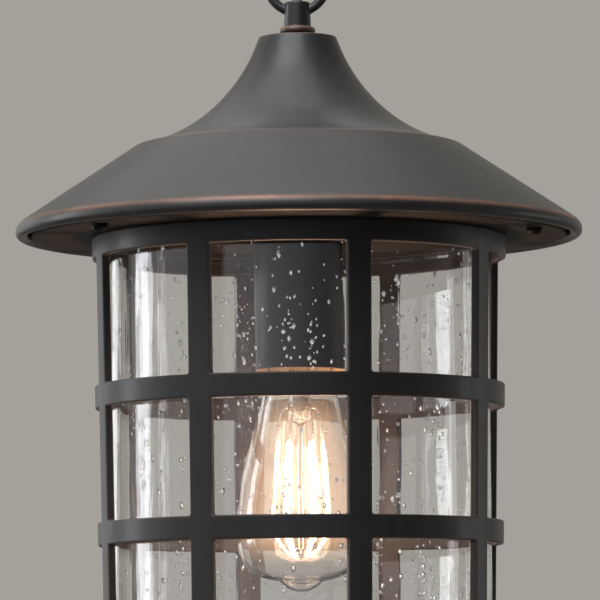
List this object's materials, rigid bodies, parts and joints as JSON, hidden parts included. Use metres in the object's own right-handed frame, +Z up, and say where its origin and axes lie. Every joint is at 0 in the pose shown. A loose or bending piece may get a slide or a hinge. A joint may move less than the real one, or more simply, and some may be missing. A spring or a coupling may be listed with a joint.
{
  "type": "outdoor hanging lantern",
  "caption": "Hanging porch lantern: bell-shaped metal roof on a loop, a tapered cage of square windows, a seeded glass cylinder and a clear pear-shaped lamp.",
  "frame": {"origin": "the inner top of the hanging loop, where the chain's link carries the lantern", "axes": "+Z up along the lantern's axis, +X along the loop's plane, -Y towards the front"},
  "size_m": [0.254, 0.254, 0.3787],
  "materials": {
    "loop_bronze": "satin dark bronze with rubbed copper edges",
    "roof_bronze": "satin dark bronze, rubbed to copper along the bead and the shoulder",
    "pan_bronze": "satin dark bronze",
    "cage_bronze": "fine cast texture under satin dark bronze paint",
    "black_steel": "blackened",
    "black_cup": "smooth satin black",
    "rubber": "matt",
    "black_plastic": "moulded",
    "cord_jacket": "grey-brown jacket",
    "bare_copper": "bright strands",
    "zinc_steel": "zinc plated",
    "bright_aluminium": "mill finish",
    "porcelain": "unglazed white",
    "brass": "plain",
    "green_screw": "green dipped",
    "black_lead": "insulated",
    "white_lead": "insulated",
    "seeded_glass": "clear with many small bubbles",
    "lamp_glass": "clear blown glass",
    "nickel": "nickel plated",
    "black_glass": "glassy black",
    "solder": "dull solder",
    "filament": "warm phosphor coat",
    "circuit_board": "board with small components"
  },
  "bodies": {
    "root": {"hang_loop": "loop_bronze", "loop_collar": "loop_bronze", "loop_washer": "rubber", "cord_bushing": "black_plastic", "supply_cord": "cord_jacket", "cord_end_leads": "bare_copper", "inner_cord": "cord_jacket", "roof": "roof_bronze", "roof_lock_washer": "zinc_steel", "roof_nut": "zinc_steel", "stem_pipe": "zinc_steel", "heat_shield": "bright_aluminium", "shield_nut": "zinc_steel", "socket_cup": "black_cup", "cup_nut": "zinc_steel", "lampholder_cap": "zinc_steel", "lampholder_body": "porcelain", "screw_shell": "brass", "centre_contact": "brass", "terminal_screws": "brass", "ground_screw": "green_screw", "lead_black": "black_lead", "lead_white": "white_lead", "ground_lead": "bare_copper"},
    "cage": {"mounting_pan": "pan_bronze", "pan_screws": "black_steel", "cage": "cage_bronze", "glass_cylinder": "seeded_glass", "glass_top_gasket": "rubber", "glass_foot_gasket": "rubber"},
    "bulb": {"bulb_envelope": "lamp_glass", "bulb_base_shell": "nickel", "bulb_insulator": "black_glass", "bulb_contact": "solder", "bulb_stem": "lamp_glass", "bulb_filaments": "filament", "bulb_support_wires": "nickel", "led_driver": "circuit_board"},
    "screw_1": {"roof_screw_1": "black_steel"},
    "screw_2": {"roof_screw_2": "black_steel"},
    "screw_3": {"roof_screw_3": "black_steel"}
  },
  "joints": [
    {"name": "cage_lower", "type": "slide", "parent": "root", "child": "cage", "axis": [0, 0, -1], "range_m": [0, 0.17]},
    {"name": "bulb_unscrew", "type": "slide", "parent": "root", "child": "bulb", "axis": [0, 0, -1], "range_m": [0, 0.19]},
    {"name": "roof_screw_1_out", "type": "slide", "parent": "cage", "child": "screw_1", "axis": [0, 0, -1], "range_m": [0, 0.012]},
    {"name": "roof_screw_2_out", "type": "slide", "parent": "cage", "child": "screw_2", "axis": [0, 0, -1], "range_m": [0, 0.012]},
    {"name": "roof_screw_3_out", "type": "slide", "parent": "cage", "child": "screw_3", "axis": [0, 0, -1], "range_m": [0, 0.012]}
  ]
}
